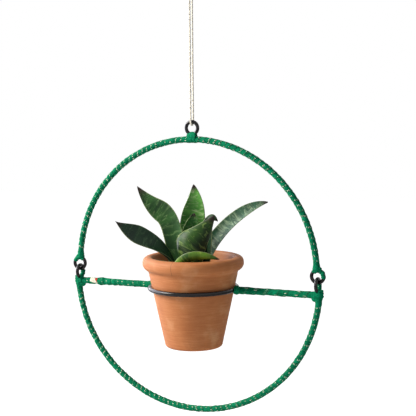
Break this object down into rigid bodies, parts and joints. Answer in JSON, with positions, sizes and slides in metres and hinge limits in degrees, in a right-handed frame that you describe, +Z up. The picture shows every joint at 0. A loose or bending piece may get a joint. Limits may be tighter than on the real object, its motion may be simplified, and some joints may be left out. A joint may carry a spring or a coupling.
{
  "type": "hanging planter",
  "caption": "Terracotta plant pot in a ring on a crossbar, inside two linked wire hoops wound with printed fabric strip, hung on a loop of twine.",
  "frame": {"origin": "the hook point, which is the inside of the top of the twine's loop", "axes": "+Z up, +X to the right along the crossbar, +Y to the back, square to the hoops"},
  "size_m": [0.2842, 0.1042, 0.4775],
  "materials": {
    "twine": "natural jute",
    "black_steel": "black paint, worn satin",
    "bare_wire": "bare drawn wire",
    "printed_strip": "green printed cotton strip",
    "terracotta": "unglazed, turned",
    "potting_mix": "damp bark and peat",
    "leaf": "waxy, mottled"
  },
  "bodies": {
    "hook_loop": {"twine_top_loop": "twine", "twine_knot": "twine"},
    "twine": {"twine_strands": "twine"},
    "upper_frame": {"hanging_ring": "black_steel", "left_arch_ring": "black_steel", "right_arch_ring": "black_steel", "arch_wire": "bare_wire", "upper_welds": "black_steel", "arch_wrap_right": "printed_strip", "arch_wrap_left": "printed_strip", "top_ring_binding": "printed_strip", "left_arch_binding": "printed_strip", "right_arch_binding": "printed_strip"},
    "lower_frame": {"pot_ring": "black_steel", "left_corner_ring": "black_steel", "right_corner_ring": "black_steel", "hoop_wire": "bare_wire", "left_bar_wire": "bare_wire", "right_bar_wire": "bare_wire", "lower_welds": "black_steel", "hoop_wrap_right": "printed_strip", "hoop_wrap_left": "printed_strip", "left_bar_wrap": "printed_strip", "right_bar_wrap": "printed_strip", "left_corner_binding": "printed_strip", "right_corner_binding": "printed_strip", "left_pot_ring_binding": "printed_strip", "right_pot_ring_binding": "printed_strip"},
    "pot": {"pot": "terracotta", "soil": "potting_mix", "leaf_low_left": "leaf", "leaf_high_left": "leaf", "leaf_upright": "leaf", "leaf_right": "leaf", "leaf_curled": "leaf", "leaf_on_rim": "leaf", "leaf_small_right": "leaf", "leaf_inner_left": "leaf", "leaf_young": "leaf"}
  },
  "joints": [
    {"name": "twine_turn", "type": "hinge", "parent": "hook_loop", "child": "twine", "pos_m": [0, 0, -0.041], "axis": [0, 0, 1], "continuous": true},
    {"name": "frame_swing", "type": "hinge", "parent": "twine", "child": "upper_frame", "pos_m": [0, 0, -0.1814], "axis": [0, 1, 0], "range_deg": [-25, 25]},
    {"name": "hoop_fold", "type": "hinge", "parent": "upper_frame", "child": "lower_frame", "pos_m": [0, 0, -0.3349], "axis": [1, 0, 0], "range_deg": [-90, 35]},
    {"name": "pot_lift", "type": "slide", "parent": "lower_frame", "child": "pot", "axis": [0, 0, 1], "range_m": [0, 0.038]}
  ]
}
